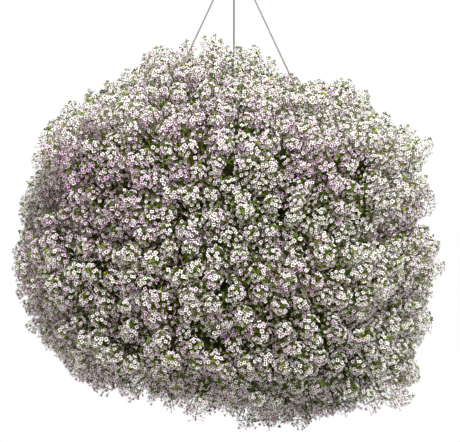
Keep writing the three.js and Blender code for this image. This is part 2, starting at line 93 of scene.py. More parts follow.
# A head's florets lie between these angles from its axis. Of every nine, one is round, one plain and one
# cupped, and the others are the simplest.
DOME_TOP, DOME_EDGE = math.radians(24), math.radians(100)
FLORET_STRIDE = 9
FLORET_KINDS_FIRST = [0, 4, 8]
DOME_NOISE, TURN_NOISE, FACING_NOISE, AGE_NOISE = 0.11, 0.16, 0.16, 0.22
STALK_RADIUS, POD_STALK_RADIUS = 0.4 * MM, 0.3 * MM

# The leafy inside: its depth below the ball's surface, how much less under the pot, and each layer of leaves:
# height above it (m), number, length and width (mm).
FOLIAGE_DEPTH, LESS_DEPTH_BELOW = 0.082, 0.016
UNDERSIDE, UNDERSIDE_REACH = 1.75, 0.6  # radians from straight up
LEAF_LAYERS = [(-0.004, 1500, 34, 5.5), (0.014, 1500, 27, 4.5), (0.030, 1700, 22, 3.6)]
LOWEST_LEAF = math.radians(166)
TWIG_LAYER = 1

# The shell of old stems, a near-black sheet of painted shade inside the plant: its steps, where it ends
# (degrees from straight up), its cover over the lip, its mouth under the pot, and half the gap between two
# plants above and below the lip (radians).
SHELL_STEPS, SHELL_TURNS = 38, 31
SHELL_TOP, SHELL_BOTTOM = 3, 168
LIP_COVER_RADIUS, LIP_COVER_HEIGHT = 0.178, 0.022
MOUTH_RADIUS, MOUTH_DEPTH = 0.030, 0.090
GAP_ABOVE, GAP_BELOW = 0.035, 0.004
CROWN_RING = 0.072  # from the pot's axis to each plant's crown

# The colour of the light that comes from all round, from below and from above.
LIGHT_BELOW, LIGHT_ABOVE = (0.108, 0.103, 0.067), (0.333, 0.32, 0.238)

# Waves all over the ball (height, distance across and seed), and deep hollows at the back where a third wave
# is below a level.
RELIEF_WAVES = [(0.008, 0.12, 21), (0.003, 0.055, 22)]
BACK_WAVE, BACK_HOLLOW_BELOW, BACK_HOLLOW_DEPTH = (0.08, 33), -0.95, 0.022

# The larger hollows and mounds of the ball's front: millimetres right of and above its centre, and reach.
HOLLOW_DEPTH, MOUND_HEIGHT = 0.011, 0.009
HOLLOWS = [(-27, 147, 20), (-169, 25, 24), (-97, 46, 15), (-17, 6, 16), (18, 11, 16), (53, 11, 15),
           (39, -31, 20), (-211, -67, 20), (-164, -145, 26), (-128, -165, 24), (-41, -154, 22),
           (39, -151, 18), (69, -185, 16), (153, -122, 14), (186, -84, 14), (190, -196, 22), (193, 18, 16),
           (127, 73, 18), (-27, -203, 16)]
MOUNDS = [(92, 35, 36), (141, 105, 30), (190, 84, 28), (148, 0, 28), (106, -133, 26), (-62, -101, 26),
          (-132, 39, 24), (-153, -80, 20), (-41, 210, 26), (134, 210, 26), (-195, 98, 26), (1, -84, 24),
          (-6, 84, 22)]

UP = np.array([0.0, 0.0, 1.0])
GOLDEN_ANGLE = math.pi * (3 - math.sqrt(5))
SPRAYS = sorted(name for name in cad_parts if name.startswith("spray_"))


# ---------------- form of the ball


def unit(vectors):
    return vectors / np.linalg.norm(vectors, axis=-1, keepdims=True)


def level(azimuth):
    """The level direction at an azimuth."""
    return np.array([math.cos(azimuth), math.sin(azimuth), 0])


def side_radius(radii, angle):
    place = angle / math.pi * (len(radii) - 1)
    k = np.minimum(place.astype(int), len(radii) - 2)
    t = place - k
    return radii[k] + (radii[k + 1] - radii[k]) * t * t * (3 - 2 * t)


def ball_radius(directions):
    """The ball's radius along each direction from its centre: the same form as the solids'."""
    angle = np.arccos(np.clip(directions[..., 2], -1, 1))
    flat = np.maximum(np.hypot(directions[..., 0], directions[..., 1]), 1e-9)
    rightness = (1 + directions[..., 0] / flat) / 2
    azimuth = np.arctan2(directions[..., 1], directions[..., 0])
    left, right = side_radius(LEFT_RADII, angle), side_radius(RIGHT_RADII, angle)
    lump = np.sin(4 * azimuth + 1.2) * np.sin(5 * angle) * np.sin(angle)
    return left + (right - left) * rightness + LUMP_HEIGHT * lump


def foliage_depth(directions):
    """How far the leafy inside lies below the ball's surface: less under the pot."""
    angle = np.arccos(np.clip(directions[..., 2], -1, 1))
    return FOLIAGE_DEPTH - LESS_DEPTH_BELOW * np.clip((angle - UNDERSIDE) / UNDERSIDE_REACH, 0, 1)


def spread_directions(count, seed, lowest, rounds):
    """Directions spread evenly and irregularly over a ball."""
    rng = np.random.default_rng(seed)
    z = 1 - (2 * np.arange(count) + 1) / count
    turn = np.arange(count) * GOLDEN_ANGLE
    flat = np.sqrt(1 - z * z)
    made = np.stack([flat * np.cos(turn), flat * np.sin(turn), z], axis=1)
    spacing = math.sqrt(4 * math.pi / count / 0.866)
    made = unit(made + rng.uniform(-0.5, 0.5, made.shape) * spacing * 1.1)
    for _ in range(rounds):
        apart = made[:, None] - made[None]
        distance = np.linalg.norm(apart, axis=2) + np.eye(count) * 9
        share = np.clip(spacing - distance, 0, None) / distance * 0.3
        made = unit(made + (apart * share[..., None]).sum(axis=1))
    return made[np.arccos(made[:, 2]) < lowest]


def waves(points, scale, seed):
    """Smooth noise from about -1 to 1, with features about scale across."""
    rng = np.random.default_rng(seed)
    total = np.zeros(len(points))
    for _ in range(10):
        along = unit(rng.normal(size=3)) * 2 * math.pi / scale * rng.uniform(0.35, 0.8)
        total += np.sin(points @ along + rng.uniform(0, 2 * math.pi))
    return total / 3.2


def wire_distance(points):
    """The distance of each point from the nearest of the three wires."""
    nearest = np.full(len(points), 9.0)
    for azimuth in WIRE_AZIMUTHS:
        out = level(azimuth)
        top = out * WIRE_TOP_RING + UP * FERRULE_BOTTOM_Z
        lip = out * LIP_HOLE_RADIUS + UP * LIP_Z
        line = lip - top
        share = np.clip((points - top) @ line / (line @ line), 0, 1)
        nearest = np.minimum(nearest, np.linalg.norm(points - top - share[:, None] * line, axis=1))
    return nearest


# ---------------- meshes from many small parts


class Soup:
    """Triangles gathered from many small parts, with a UV for each corner and a material for each face."""

    def __init__(self):
        self.points, self.faces, self.uvs, self.materials, self.smooth = [], [], [], [], []
        self.count = 0

    def add(self, points, faces, uvs, material, smooth=False):
        """points (k, n, 3) for k copies; faces (m, 3) of one copy; uvs (k, m, 3, 2)."""
        k, n, _ = points.shape
        m = len(faces)
        self.points.append(points.reshape(-1, 3))
        starts = self.count + n * np.arange(k)
        self.faces.append((faces[None] + starts[:, None, None]).reshape(-1, 3))
        self.uvs.append(np.broadcast_to(uvs, (k, m, 3, 2)).reshape(-1, 2))
        self.materials.append(np.full(k * m, material))
        self.smooth.append(np.full(k * m, smooth))
        self.count += k * n

    def piece(self, name, materials, slot, nodes):
        """Makes the object, which stands for those nodes of the frame."""
        points = np.concatenate(self.points)
        faces = np.concatenate(self.faces)
        mesh = bpy.data.meshes.new(name)
        mesh.vertices.add(len(points))
        mesh.vertices.foreach_set("co", points.ravel())
        mesh.loops.add(faces.size)
        mesh.loops.foreach_set("vertex_index", faces.ravel())
        mesh.polygons.add(len(faces))
        mesh.polygons.foreach_set("loop_start", np.arange(0, faces.size, 3))
        mesh.polygons.foreach_set("use_smooth", np.concatenate(self.smooth))
        for material in materials:
            mesh.materials.append(material)
        mesh.polygons.foreach_set("material_index", np.concatenate(self.materials))
        layer = mesh.uv_layers.new(name="OFBake")
        layer.data.foreach_set("uv", np.concatenate(self.uvs).ravel())
        mesh.update(calc_edges=True)
        mesh.validate()
        place(bpy.data.objects.new(name, mesh), slot, nodes)


def place(made, slot, nodes):
    """Puts the object in the scene, standing for those nodes of the frame."""
    bpy.context.scene.collection.objects.link(made)
    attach(made, "root")
    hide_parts(*nodes)
    return made


def turned(normals, rng):
    """Rotations whose third column is the normal, each turned about it at random."""
    helper = np.where(np.abs(normals[:, 2:3]) < 0.9, UP, np.array([1.0, 0, 0]))
    side = unit(np.cross(helper, normals))
    angle = rng.uniform(0, 2 * math.pi, (len(normals), 1))
    x = side * np.cos(angle) + np.cross(normals, side) * np.sin(angle)
    return np.stack([x, np.cross(normals, x), normals], axis=2)


def facing_out(ways, outward):
    """Rotations whose third column is the way a leaf points, and whose first leans outward."""
    face = unit(np.cross(np.cross(ways, outward), ways))
    return np.stack([face, np.cross(ways, face), ways], axis=2)


def stamp(soup, template, centres, rotations, sizes, tints, material, smooth=False):
    """Copies of a template: sizes is (k,) or (k, 3); tints is the U of each copy's faces."""
    points, faces, uvs = template
    sizes = sizes[:, None, None] if sizes.ndim == 1 else sizes[:, None, :]
    moved = np.einsum("kij,knj->kni", rotations, points[None] * sizes) + centres[:, None]
    painted = np.broadcast_to(uvs, (len(centres), *uvs.shape)).copy()
    painted[..., 0] += tints[:, None, None]
    soup.add(moved, faces, painted, material, smooth)


def tubes(soup, paths, radii, sides, tints, material, tint_rise=0.0):
    """One tube along each path (k, p, 3), with a radius for each of its p points."""
    k, p, _ = paths.shape
    tangents = unit(np.gradient(paths, axis=1))
    helper = np.cross(paths[:, -1] - paths[:, 0], UP + 0.3 * np.array([0.6, 0.8, 0]))
    helper = unit(helper)[:, None]
    u = unit(np.cross(tangents, np.cross(helper, tangents)))
    v = np.cross(tangents, u)
    angle = np.arange(sides) * 2 * math.pi / sides
    around = u[:, :, None] * np.cos(angle)[:, None] + v[:, :, None] * np.sin(angle)[:, None]
    points = (paths[:, :, None] + around * radii[:, None, None]).reshape(k, p * sides, 3)
    faces, uvs = [], []
    for i in range(p - 1):
        for j in range(sides):
            a, b = i * sides + j, i * sides + (j + 1) % sides
            low, high = i / (p - 1), (i + 1) / (p - 1)
            left, right = 0.01 * j / sides, 0.01 * (j + 1) / sides
            faces += [(a, b, b + sides), (a, b + sides, a + sides)]
            uvs += [[(left, low), (right, low), (right, high)], [(left, low), (right, high), (left, high)]]
    faces = np.array(faces)
    painted = np.broadcast_to(np.array(uvs), (k, len(faces), 3, 2)).copy()
    painted[..., 0] += tints[:, None, None] + tint_rise * painted[..., 1]
    soup.add(points, faces, painted, material, True)


# ---------------- templates, drawn in millimetres or one unit long


def template(points, faces, uvs, scale=MM):
    return np.array(points, float) * scale, np.array(faces), np.array(uvs, float)


def floret_template(lift, round_ends):
    """Four petals round a small raised eye. V is under 0.2 on the eye and 0.35 to 1 out along a petal."""
    notches = [(1.2 * math.cos(a), 1.2 * math.sin(a), 0.12) for a in (np.arange(4) + 0.5) * math.pi / 2]
    points, faces, uvs = [*notches, (0, 0, 0.75)], [], []
    for k in range(4):
        angle = (k + 1) * math.pi / 2
        out = np.array([math.cos(angle), math.sin(angle)])
        across = np.array([-out[1], out[0]])
        start = len(points)
        ends = [(2.25, -1.2), (2.25, 1.2), (2.8, 0)] if round_ends else [(2.55, -1.1), (2.55, 1.1)]
        for reach, half in ends:
            points.append((*(out * reach + across * half), 0.12 + lift * (reach - 0.8)))
        left, right = k, (k + 1) % 4
        near, far, tip = start, start + 1, start + 2
        petal = [(left, near, right)]
        petal += [(right, near, tip), (right, tip, far)] if round_ends else [(right, near, far)]
        corner_uv = {left: (-0.01, 0.35), right: (0.01, 0.35), near: (-0.012, 0.9), far: (0.012, 0.9),
                     tip: (0, 1)}
        faces += petal
        uvs += [[corner_uv[corner] for corner in face] for face in petal]
        faces.append((left, right, 4))
        uvs.append([(-0.01, 0.2), (0.01, 0.2), (0, 0.02)])
    return template(points, faces, uvs)


def cross_template():
    """The simplest floret: four wedges that meet at its middle, where V is 0."""
    points, faces, uvs = [(0, 0, 0)], [], []
    for k in range(4):
        angle = k * math.pi / 2
        for side in (-1, 1):
            turn = angle + side * 0.53
            points.append((2.75 * math.cos(turn), 2.75 * math.sin(turn), 0.6))
        faces.append((0, 2 * k + 1, 2 * k + 2))
        uvs.append([(0, 0), (-0.01, 1), (0.01, 1)])
    return template(points, faces, uvs)


def circle(sides):
    return [(math.cos(a), math.sin(a), 0) for a in np.arange(sides) * 2 * math.pi / sides]


def stalk_template():
    """A pedicel that widens to the calyx under its floret; one unit long along -Z."""
    faces = [(3, (k + 1) % 3, k) for k in range(3)]
    uvs = [[(0.005, 0.1), (0.01, 0.9), (0, 0.9)]] * 3
    return template([*circle(3), (0, 0, -1)], faces, uvs, 1)


def bead_template(sides, tall):
    """A small closed bud or pod."""
    faces, uvs = [], []
    for k in range(sides):
        faces += [(k, (k + 1) % sides, sides), ((k + 1) % sides, k, sides + 1)]
        uvs += [[(0, 0.5), (0.01, 0.5), (0.005, 0.9)], [(0.01, 0.5), (0, 0.5), (0.005, 0.1)]]
    return template([*circle(sides), (0, 0, tall), (0, 0, -tall)], faces, uvs)


def leaf_template():
    """A narrow leaf folded along its midrib, one unit long along +Z and facing +X."""
    points = [(0, 0, 0), (0.02, 0.5, 0.45), (0.02, -0.5, 0.45), (-0.1, 0, 0.45),
              (0, 0.36, 0.78), (0, -0.36, 0.78), (-0.14, 0, 1)]
    faces = [(0, 1, 3), (0, 3, 2), (3, 1, 4), (3, 5, 2), (3, 4, 6), (3, 6, 5)]
    edge = [(0, 0.5), (0.01, 0.9), (0.01, 0.9), (0, 0.3), (0.01, 0.9), (0.01, 0.9), (0.005, 0.5)]
    uvs = [[edge[a], edge[b], edge[c]] for a, b, c in faces]
    return template(points, faces, uvs, 1)


ROUND_FLORET = floret_template(0.18, True)
PLAIN_FLORET = floret_template(0.30, False)
CUPPED_FLORET = floret_template(0.85, False)
CROSS_FLORET = cross_template()
STALK = stalk_template()
BUD = bead_template(3, 1.35)
POD = bead_template(3, 1.5)
LEAF = leaf_template()


# ---------------- materials


def add_node(tree, kind, values=None, **attributes):
    """A node with its attributes set, and its inputs set or linked."""
    node = tree.nodes.new(kind)
    for key, value in attributes.items():
        setattr(node, key, value)
    for key, value in (values or {}).items():
        if isinstance(value, bpy.types.NodeSocket):
            tree.links.new(value, node.inputs[key])
        else:
            node.inputs[key].default_value = value
    return node


class Nodes:
    """A material's node tree, with a Principled shader already in it."""

    def __init__(self, name, roughness, **settings):
        self.material = bpy.data.materials.new(name)
        self.material.use_nodes = True
        self.tree = self.material.node_tree
        self.shader = self.tree.nodes["Principled BSDF"]
        self.shader.inputs["Roughness"].default_value = roughness
        for key, value in settings.items():
            self.shader.inputs[key.replace("_", " ")].default_value = value

    def add(self, kind, values=None, **attributes):
        return add_node(self.tree, kind, values, **attributes)

    def link(self, socket, key):
        self.tree.links.new(socket, self.shader.inputs[key])

    def uv(self):
        """The U and V of the OFBake map."""
        where = self.add("ShaderNodeUVMap", uv_map="OFBake").outputs[0]
        split = self.add("ShaderNodeSeparateXYZ", {"Vector": where})
        return split.outputs["X"], split.outputs["Y"]

    def ramp(self, factor, stops):
        node = self.add("ShaderNodeValToRGB", {"Fac": factor})
        band = node.color_ramp
        band.elements.remove(band.elements[0])
        for k, (at, colour) in enumerate(stops):
            stop = band.elements[0] if k == 0 else band.elements.new(at)
            stop.position = at
            stop.color = (*colour, 1)
        return node.outputs["Color"]

    def noise(self, scale, detail=3.0, roughness=0.55):
        where = self.add("ShaderNodeTexCoord").outputs["Object"]
        values = {"Vector": where, "Scale": scale, "Detail": detail, "Roughness": roughness}
        return self.add("ShaderNodeTexNoise", values).outputs["Fac"]

    def mix(self, factor, a, b, kind="MIX"):
        values = {0: factor, 6: a, 7: b}
        return self.add("ShaderNodeMix", values, data_type="RGBA", blend_type=kind).outputs[2]

    def grey(self, level):
        return self.add("ShaderNodeCombineColor", {"Red": level, "Green": level, "Blue": level}).outputs[0]

    def fit(self, value, low, high, to_low=0.0, to_high=1.0):
        values = {"Value": value, "From Min": low, "From Max": high, "To Min": to_low, "To Max": to_high}
        return self.add("ShaderNodeMapRange", values).outputs["Result"]

    def bump(self, height, distance, strength=0.6):
        values = {"Height": height, "Distance": distance, "Strength": strength}
        self.link(self.add("ShaderNodeBump", values).outputs["Normal"], "Normal")


def petal_material():
    """U is a floret's age: white with a green eye when young, lilac with a maroon eye when old."""
    nodes = Nodes("alyssum_petal", 0.7, Specular_IOR_Level=0.15)
    age, radial = nodes.uv()
    young = nodes.ramp(radial, [(0.0, (0.46, 0.42, 0.03)), (0.16, (0.20, 0.17, 0.01)),
                                (0.30, (0.03, 0.025, 0.003)), (0.44, (0.08, 0.06, 0.03)),
                                (0.54, (0.88, 0.85, 0.86)), (1.0, (0.86, 0.82, 0.85))])
    old = nodes.ramp(radial, [(0.0, (0.08, 0.02, 0.02)), (0.2, (0.02, 0.003, 0.010)),
                              (0.44, (0.05, 0.012, 0.035)), (0.54, (0.66, 0.38, 0.62)),
                              (1.0, (0.72, 0.46, 0.68))])
    colour = nodes.mix(nodes.fit(age, 0.15, 0.85), young, old)
    speckle = nodes.fit(nodes.noise(420.0), 0.3, 0.7, 0.9, 1.06)
    nodes.link(nodes.mix(1.0, colour, nodes.grey(speckle), "MULTIPLY"), "Base Color")
    nodes.bump(nodes.noise(900.0, 2.0), 0.0003, 0.4)
    return nodes.material


def green_material():
    """U runs from fresh yellow-green through leaf green to brown, and V along or across the part. V also
    paints light and shade: buds and pods lighter at the tip, stalks at the floret end, leaves darker along
    the midrib fold.
    """
    nodes = Nodes("alyssum_green", 0.6, Specular_IOR_Level=0.15)
    kind, along = nodes.uv()
    colour = nodes.ramp(kind, [(0.0, (0.42, 0.42, 0.03)), (0.3, (0.15, 0.25, 0.010)),
                               (0.6, (0.045, 0.085, 0.002)), (0.85, (0.06, 0.035, 0.008)),
                               (1.0, (0.10, 0.035, 0.03))])
    # Painted light and shade along V: buds and pods lighter at the tip than the base, stalks lighter at the
    # floret end, leaves darker along the midrib fold.
    light = nodes.fit(along, 0.1, 0.9, 0.75, 1.2)
    blotch = nodes.fit(nodes.noise(150.0), 0.3, 0.7, 0.8, 1.2)
    level = nodes.add("ShaderNodeMath", {0: light, 1: blotch}, operation="MULTIPLY").outputs[0]
    nodes.link(nodes.mix(1.0, colour, nodes.grey(level), "MULTIPLY"), "Base Color")
    nodes.bump(nodes.noise(700.0, 2.0), 0.0003, 0.5)
    return nodes.material


def inside_shade_material():
    """The inside of the plant: old stems and leaf litter, coloured near black as painted deep shade."""
    nodes = Nodes("alyssum_inside", 0.85, Specular_IOR_Level=0.05)
    # Painted shade: the inside's stems and litter are near black, standing for the deep shade among them.
    patch = nodes.ramp(nodes.noise(60.0, 6.0), [(0.3, (0.008, 0.012, 0.002)), (0.5, (0.018, 0.026, 0.004)),
                                               (0.7, (0.03, 0.024, 0.007))])
    nodes.link(patch, "Base Color")
    nodes.bump(nodes.noise(180.0, 5.0), 0.002, 0.8)
    return nodes.material


def pot_material():
    nodes = Nodes("pot_plastic", 0.5)
    blotch = nodes.ramp(nodes.noise(35.0, 5.0), [(0.35, (0.030, 0.036, 0.028)), (0.7, (0.045, 0.05, 0.04))])
    nodes.link(blotch, "Base Color")
    nodes.link(nodes.fit(nodes.noise(90.0), 0.3, 0.7, 0.4, 0.6), "Roughness")
    nodes.bump(nodes.noise(1400.0, 2.0), 0.0002, 0.5)
    return nodes.material


def soil_material():
    nodes = Nodes("potting_soil", 0.95)
    stops = [(0.3, (0.010, 0.006, 0.004)), (0.55, (0.045, 0.028, 0.016)), (0.75, (0.11, 0.08, 0.05))]
    crumbs = nodes.ramp(nodes.noise(220.0, 6.0, 0.7), stops)
    nodes.link(crumbs, "Base Color")
    nodes.bump(nodes.noise(260.0, 6.0, 0.7), 0.003, 0.9)
    return nodes.material


def wire_material():
    nodes = Nodes("hanger_wire", 0.45, Metallic=0.25)
    dull = nodes.ramp(nodes.noise(260.0, 4.0), [(0.35, (0.16, 0.128, 0.100)), (0.7, (0.235, 0.195, 0.16))])
    nodes.link(dull, "Base Color")
    nodes.link(nodes.fit(nodes.noise(400.0), 0.3, 0.7, 0.35, 0.6), "Roughness")
    nodes.bump(nodes.noise(1500.0, 2.0), 0.0001, 0.4)
    return nodes.material


PETAL, GREEN, INSIDE_SHADE = petal_material(), green_material(), inside_shade_material()
POT, SOIL, WIRE = pot_material(), soil_material(), wire_material()


# ---------------- flower heads


def relief(points):
    """How far the heads there stand out of the ball's plain form, or in it if below 0."""
    height = sum(size * waves(points, scale, seed) for size, scale, seed in RELIEF_WAVES)
    front = np.clip(-points[:, 1] / RELIEF_REACH, 0, 1)
    height -= (1 - front) * BACK_HOLLOW_DEPTH * (waves(points, *BACK_WAVE) < BACK_HOLLOW_BELOW)
    for bumps, size in [(HOLLOWS, -HOLLOW_DEPTH), (MOUNDS, MOUND_HEIGHT)]:
        for right, up, reach in bumps:
            apart = np.hypot(points[:, 0] - right * MM, points[:, 2] - BALL_CENTRE[2] - up * MM)
            height += front * size * np.exp(-((apart / (reach * MM)) ** 2))
    return height


class Heads:
    """Heads of one sort: tips, axes, sizes, how lilac each is, and directions from the ball's centre."""

    def __init__(self, sort, tips, axes, sizes, lilac, directions):
        self.sort, self.count = sort, len(tips)
        self.tips, self.axes, self.sizes, self.lilac, self.directions = tips, axes, sizes, lilac, directions
        outward = unit(directions - axes * (directions * axes).sum(axis=1, keepdims=True) + 1e-6)
        sideward = unit(np.cross(axes, outward))
        self.outward, self.sideward = np.cross(sideward, axes), sideward

    def chosen(self, which, sort=None):
        every = (self.tips, self.axes, self.sizes, self.lilac, self.directions)
        return Heads(sort or self.sort, *(values[which] for values in every))

    def around(self, turn):
        """Directions square to each head's axis, at angles (count, k) from its outer side."""
        across = self.outward[:, None] * np.cos(turn)[..., None]
        return across + self.sideward[:, None] * np.sin(turn)[..., None]

    def below_tip(self, distance):
        """Points (count, k) down the axes, distance in metres on a head of size 1."""
        return self.tips[:, None] - self.axes[:, None] * (distance * self.sizes[:, None])[..., None]


def place_heads(sort, count, seed, deeper):
    """Heads of one sort all over the ball, each that much deeper than the outermost ones, more or less."""
    rng = np.random.default_rng(seed)
    directions = spread_directions(count, seed, LOWEST_HEAD, 6)
    surface = BALL_CENTRE + directions * ball_radius(directions)[:, None]
    flat = np.hypot(directions[:, 0], directions[:, 1])[:, None]
    axes = directions * np.where(directions[:, 2:] < 0, np.maximum(flat, LEAST_OUTWARD) / flat, 1)
    axes[:, 2] = directions[:, 2]
    noise = rng.normal(0, AXIS_NOISE, directions.shape)
    noise[directions[:, 2] < LOW_DIRECTION, 2] *= LOW_AXIS_NOISE_SHARE
    axes = axes + HEAD_RISE * UP + noise
    axes[:, 2] = np.maximum(axes[:, 2], LEAST_UPWARD)
    axes = unit(axes)
    sideways = np.linalg.norm(np.cross(axes, directions), axis=1)
    spread = rng.uniform(-HEAD_DEPTH_RANGE, HEAD_DEPTH_RANGE, len(directions))
    depth = HEAD_DEPTH - relief(surface) + spread
    depth = np.maximum(depth, LEAST_DEPTH) + SIDEWAYS_HEAD_DEPTH * np.clip(2.2 * sideways - 1.2, 0, 1)
    depth = depth + deeper * rng.uniform(0.6, 1.4, len(directions))
    standing = rng.random(len(directions)) < STANDING_SHARE
    depth -= STANDING_HEIGHT * (standing & (directions[:, 2] > LOW_DIRECTION))
    tips = surface - directions * depth[:, None]
    sizes = rng.uniform(0.85, 1.15, len(tips))
    clear = wire_distance(tips - axes * 0.012) > WIRE_ROOM
    lilac = 0.5 + 0.35 * waves(surface, 0.10, 8) - 0.25 * directions[:, 0] + rng.normal(0, 0.14, len(tips))
    lilac += 0.8 * np.clip(-directions[:, 2] - 0.5, 0, 1)
    return Heads(sort, tips, axes, sizes, lilac, directions).chosen(clear)


def filling_heads(others):
    """Small heads in the gaps between the others: the ones farthest from them out of many more."""
    heads = place_heads(SMALL, 2 * SMALL_COUNT, 13, SMALL_HEAD_DEPTH)
    heads = heads.chosen(heads.directions[:, 2] > LOW_DIRECTION)
    tree = KDTree(others.count)
    for k, point in enumerate(others.below_tip(np.array([0.014]))[:, 0]):
        tree.insert(point, k)
    tree.balance()
    gaps = [tree.find(point)[2] for point in heads.below_tip(np.array([0.010]))[:, 0]]
    return heads.chosen(np.argsort(gaps)[-SMALL_COUNT:])


def slender(radius, lengths):
    """The sizes of stalks of one radius."""
    return np.stack([np.full(len(lengths), radius)] * 2 + [lengths], axis=1)


def add_florets(soup, heads, rng):
    """Florets packed over a dome round the buds, then looser down the spike, mostly on its outer side."""
    sort, count = heads.sort, heads.count
    number = sort.dome + sort.loose
    shape = (count, number)
    k = np.arange(number) + 0.5
    packed, loose = np.minimum(k / sort.dome, 1), np.maximum(k - sort.dome, 0) / sort.loose
    from_axis = np.arccos(math.cos(DOME_TOP) + (math.cos(DOME_EDGE) - math.cos(DOME_TOP)) * packed)
    from_axis = from_axis + rng.normal(0, DOME_NOISE, shape)
    sided = np.clip(from_axis - 0.5, 0, 1)
    turn = k * GOLDEN_ANGLE + rng.uniform(0, 2 * math.pi, (count, 1)) + rng.normal(0, TURN_NOISE, shape)
    out = heads.around(turn - 0.42 * sided * np.sin(turn))
    radius = sort.radius * np.where(loose > 0, rng.uniform(0.6, 1.4, shape), rng.uniform(0.86, 1.06, shape))
    low = 0.9 * sort.radius * (1 - np.cos(from_axis)) + sort.long * loose - 0.5
    flat = (radius * np.sin(from_axis) * MM * heads.sizes[:, None])[..., None]
    centre = heads.below_tip(low * MM) + out * flat
    root = heads.below_tip((low + 5 - 3 * packed) * MM)
    away = np.cos(from_axis)[..., None] * heads.axes[:, None] + np.sin(from_axis)[..., None] * out
    untidy = FACING_NOISE + 0.5 * np.clip(-heads.directions[:, 2] - 0.5, 0, 1)
    facing = unit(away + 0.3 * heads.axes[:, None] + rng.normal(0, 1, away.shape) * untidy[:, None, None])
    age = 0.05 + 0.3 * packed + 0.3 * loose + 0.45 * (heads.lilac[:, None] - 0.5)
    age = np.clip(age + rng.normal(0, AGE_NOISE, shape), 0.02, 0.97)
    size = heads.sizes[:, None] * (0.95 - 0.07 * loose) * rng.uniform(0.86, 1.08, shape)
    kinds = np.full(shape, 3)
    for kind, first in enumerate(FLORET_KINDS_FIRST):
        kinds[:, first::FLORET_STRIDE] = kind
    for kind, floret in enumerate([ROUND_FLORET, PLAIN_FLORET, CUPPED_FLORET, CROSS_FLORET]):
        chosen = kinds == kind
        stamp(soup, floret, centre[chosen], turned(facing[chosen], rng), size[chosen], age[chosen], 0)
    stalk = (centre - root).reshape(-1, 3)
    length = np.linalg.norm(stalk, axis=1)
    slim = slender(STALK_RADIUS, length)
    sunk = (centre - facing * 0.1 * MM).reshape(-1, 3)
    stamp(soup, STALK, sunk, turned(unit(stalk), rng), slim, rng.uniform(0.1, 0.9, len(slim)), 1)


def add_buds(soup, heads, rng):
    """Buds in a tight cluster at the tip: two in the middle and the others round them."""
    count, number = heads.count, heads.sort.buds
    inner = np.arange(number) < 2
    turn = np.arange(number) * 2 * math.pi / (number - 2) + rng.uniform(0, 6, (count, 1))
    out = heads.around(turn)
    at = heads.below_tip(-np.where(inner, 3.0, 1.4) * MM)
    at = at + out * (np.where(inner, 0.7, 2.5) * MM * heads.sizes[:, None])[..., None]
    pointing = unit(heads.axes[:, None] + out * np.where(inner, 0.2, 0.7)[None, :, None]).reshape(-1, 3)
    tint = np.repeat(rng.uniform(0.15, 0.85, count), number) + rng.uniform(-0.1, 0.1, count * number)
    size = np.repeat(heads.sizes, number) * rng.uniform(0.85, 1.25, count * number)
    stamp(soup, BUD, at.reshape(-1, 3), turned(pointing, rng), size, tint, 1)


def add_pods(soup, heads, rng):
    """Small round pods on level stalks under the florets."""
    count, number = heads.count, heads.sort.pods
    if not number:
        return
    out = heads.around(np.arange(number) * GOLDEN_ANGLE + rng.uniform(0, 6, (count, 1)))
    root = heads.below_tip((heads.sort.radius + heads.sort.long - 4 + 2.5 * np.arange(number)) * MM)
    way = unit(out + 0.35 * heads.axes[:, None])
    reach = 9 * MM * heads.sizes[:, None] * rng.uniform(0.8, 1.1, (count, number))
    at = (root + way * reach[..., None]).reshape(-1, 3)
    way = way.reshape(-1, 3)
    size = rng.uniform(0.8, 1.1, len(at))
    stamp(soup, POD, at, turned(way, rng), size, rng.uniform(0.25, 0.95, len(at)), 1)
    slim = slender(POD_STALK_RADIUS, reach.ravel())
    stamp(soup, STALK, at, turned(way, rng), slim, np.full(len(at), 0.3), 1)


def add_stems(soup, heads, rng):
    """The stem: the spike's axis, then a curve down into the foliage, with small leaves on the curve."""
    count = heads.count
    foot_radius = ball_radius(heads.directions) - foliage_depth(heads.directions)
    foot = BALL_CENTRE + heads.directions * foot_radius[:, None]
    foot = foot - UP * 0.012 + rng.normal(0, 0.006, foot.shape)
    length = heads.sort.radius + heads.sort.long + 2
    bend = heads.below_tip(np.array([length * MM]))[:, 0]
    curve = [bend, bend - heads.axes * 0.016, foot + heads.directions * 0.02, foot]

    def at(t):
        """The point of the curve (a cubic Bezier) at t, which is (count, k) or (k,)."""
        t = np.broadcast_to(t, (count, np.shape(t)[-1]))[..., None]
        shares = [(1 - t) ** 3, 3 * (1 - t) ** 2 * t, 3 * (1 - t) * t**2, t**3]
        return sum(share * point[:, None] for share, point in zip(shares, curve))

    spike = heads.below_tip(np.array([-2, length * 0.45]) * MM)
    path = np.concatenate([spike, at(np.linspace(0, 1, 3))], axis=1)
    widths = np.array([0.4, 0.6, 0.85, 0.95, 1.0]) * MM
    tubes(soup, path, widths, 3, rng.uniform(0.25, 0.4, count), 1, tint_rise=0.4)
    for k in range(heads.sort.leaves):
        root = at(rng.uniform(0.2 + 0.3 * k, 0.4 + 0.3 * k, (count, 1)))[:, 0]
        away = unit(np.cross(heads.axes, rng.normal(size=heads.axes.shape)))
        way = unit(away + rng.uniform(0.3, 1.1, (count, 1)) * heads.axes)
        long = (15 + 6 * k) * rng.uniform(0.75, 1.2, count)
        sizes = np.stack([np.full(count, 2.6), np.full(count, 2.8), long], axis=1) * MM
        tints = rng.uniform(0.4, 0.75, count)
        stamp(soup, LEAF, root, facing_out(way, heads.axes), sizes, tints, 1, smooth=True)


